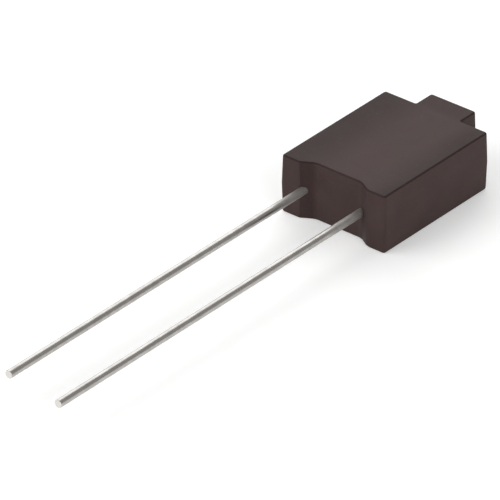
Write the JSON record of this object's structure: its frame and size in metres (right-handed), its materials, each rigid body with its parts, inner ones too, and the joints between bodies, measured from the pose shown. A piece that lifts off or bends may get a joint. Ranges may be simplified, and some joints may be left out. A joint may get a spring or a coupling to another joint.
{
  "type": "radial-lead resistor",
  "caption": "Moulded resistor: parallel wire leads leave a stand-off recess between its feet, and a square boss stands on the far end.",
  "frame": {"origin": "midway between the two leads, on the plane of the two feet that stand on a board, at the middle of the thickness", "axes": "+Y runs from the feet to the boss and the leads point along -Y; +X follows the row of leads; +Z is through the thickness, up as the part lies on its broad face"},
  "size_m": [0.0096, 0.0463, 0.0046],
  "materials": {
    "moulding": "dark brown-grey filled epoxy, as moulded, dull",
    "tinned_wire": "drawn copper wire with a dull bright tin coat",
    "bobbin_resin": "tan moulded resin",
    "winding": "fine resistance wire under red-brown enamel",
    "weld_tab": "rolled nickel strip",
    "soft_sleeve": "off-white silicone rubber"
  },
  "bodies": {
    "root": {"moulded_body": "moulding", "lead_left": "tinned_wire", "lead_right": "tinned_wire", "bobbin": "bobbin_resin", "resistance_wire": "winding", "terminal_tab_left": "weld_tab", "terminal_tab_right": "weld_tab", "buffer_sleeve": "soft_sleeve"}
  },
  "joints": []
}
